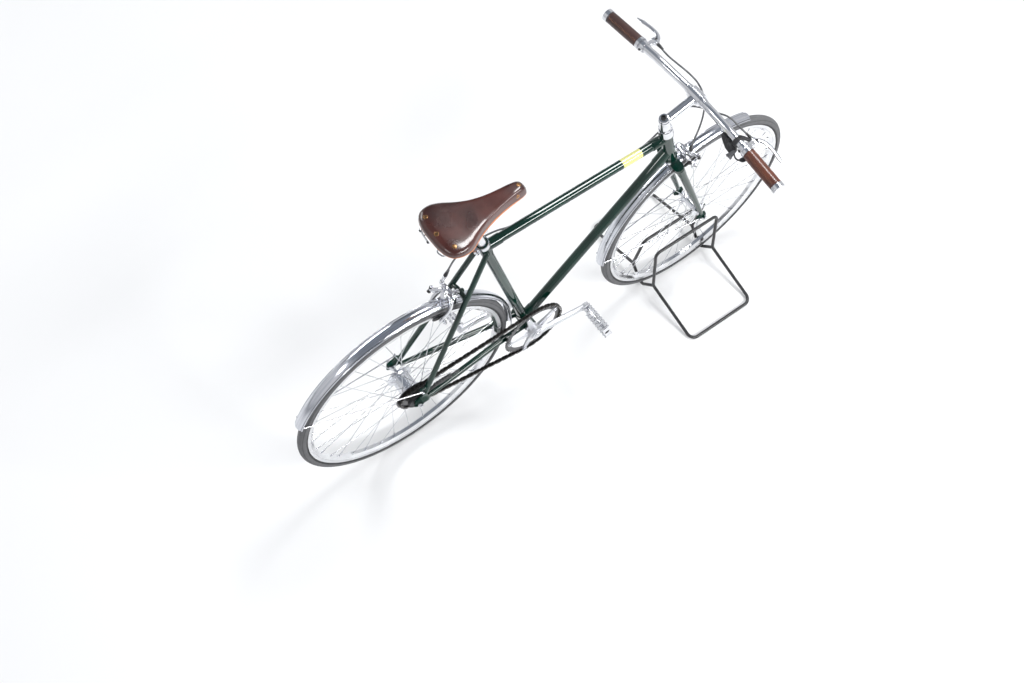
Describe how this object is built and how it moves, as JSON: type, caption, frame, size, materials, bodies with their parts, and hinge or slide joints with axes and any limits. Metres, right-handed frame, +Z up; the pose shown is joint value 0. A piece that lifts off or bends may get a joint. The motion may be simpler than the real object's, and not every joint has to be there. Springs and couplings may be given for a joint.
{
  "type": "city bicycle",
  "caption": "City bicycle with a diamond frame, mudguards, caliper brakes, leather saddle and grips, its front wheel held in a wire display stand.",
  "frame": {"origin": "on the ground under the middle of the line between the two axles, halfway across the bicycle", "axes": "+X forward to the front wheel, +Y to the rider's left, +Z up"},
  "size_m": [1.71, 0.6782, 1.0093],
  "materials": {
    "frame_paint": "gloss",
    "silver": "polished",
    "steel": "polished",
    "tyre_rubber": "matte",
    "black_rubber": "matte",
    "black_plastic": "satin",
    "black_steel": "gloss",
    "saddle_leather": "gloss",
    "grip_leather": "satin",
    "hub_alloy": "satin",
    "cable_grey": "satin"
  },
  "bodies": {
    "frame": {"head_tube": "frame_paint", "top_tube": "frame_paint", "down_tube": "frame_paint", "seat_tube": "frame_paint", "bottom_bracket_shell": "frame_paint", "bottom_bracket_cups": "silver", "chain_stays": "frame_paint", "seat_stays": "frame_paint", "brake_bridge": "frame_paint", "headset_cups": "silver", "gear_joint": "black_plastic", "rear_brake_cable": "cable_grey", "seat_post": "silver", "seat_collar": "steel", "saddle_cover": "saddle_leather", "saddle_rails": "steel", "rear_axle": "steel", "rear_mudguard": "silver", "rear_mudguard_stays": "steel", "rear_brake_caliper": "silver", "rear_brake_pads": "black_rubber", "chain": "black_steel"},
    "fork": {"fork_crown": "frame_paint", "fork_blades": "frame_paint", "headset_locknut": "silver", "stem": "silver", "handlebar": "silver", "grips": "grip_leather", "grip_rings": "silver", "brake_levers": "silver", "gear_shifter": "black_plastic", "front_axle": "steel", "front_brake_cable": "cable_grey", "front_mudguard": "silver", "front_mudguard_stays": "steel", "front_brake_caliper": "silver", "front_brake_pads": "black_rubber", "display_stand": "black_steel"},
    "front_wheel": {"front_tyre": "tyre_rubber", "front_rim": "silver", "front_spokes": "steel", "front_hub": "hub_alloy"},
    "rear_wheel": {"rear_tyre": "tyre_rubber", "rear_rim": "silver", "rear_spokes": "steel", "rear_hub": "hub_alloy", "rear_sprocket": "black_steel"},
    "cranks": {"crank_axles": "steel", "crank_left": "silver", "crank_right": "silver", "chainring": "black_steel"},
    "pedal_left": {"pedal_left": "steel"},
    "pedal_right": {"pedal_right": "steel"}
  },
  "joints": [
    {"name": "steering", "type": "hinge", "parent": "frame", "child": "fork", "pos_m": [0.47089, 0, 0.32694], "axis": [-0.284, 0, 0.9588], "range_deg": [-70, 70], "deforming": ["rear_brake_cable"]},
    {"name": "front_wheel_spin", "type": "hinge", "parent": "fork", "child": "front_wheel", "pos_m": [0.515, 0, 0.34], "axis": [0, 1, 0], "continuous": true},
    {"name": "rear_wheel_spin", "type": "hinge", "parent": "frame", "child": "rear_wheel", "pos_m": [-0.515, 0, 0.34], "axis": [0, 1, 0], "continuous": true},
    {"name": "crank_spin", "type": "hinge", "parent": "frame", "child": "cranks", "pos_m": [-0.108, 0, 0.29], "axis": [0, 1, 0], "continuous": true},
    {"name": "pedal_left_spin", "type": "hinge", "parent": "cranks", "child": "pedal_left", "pos_m": [-0.2779, 0, 0.29593], "axis": [0, 1, 0], "continuous": true},
    {"name": "pedal_right_spin", "type": "hinge", "parent": "cranks", "child": "pedal_right", "pos_m": [0.0619, 0, 0.28407], "axis": [0, 1, 0], "continuous": true}
  ]
}
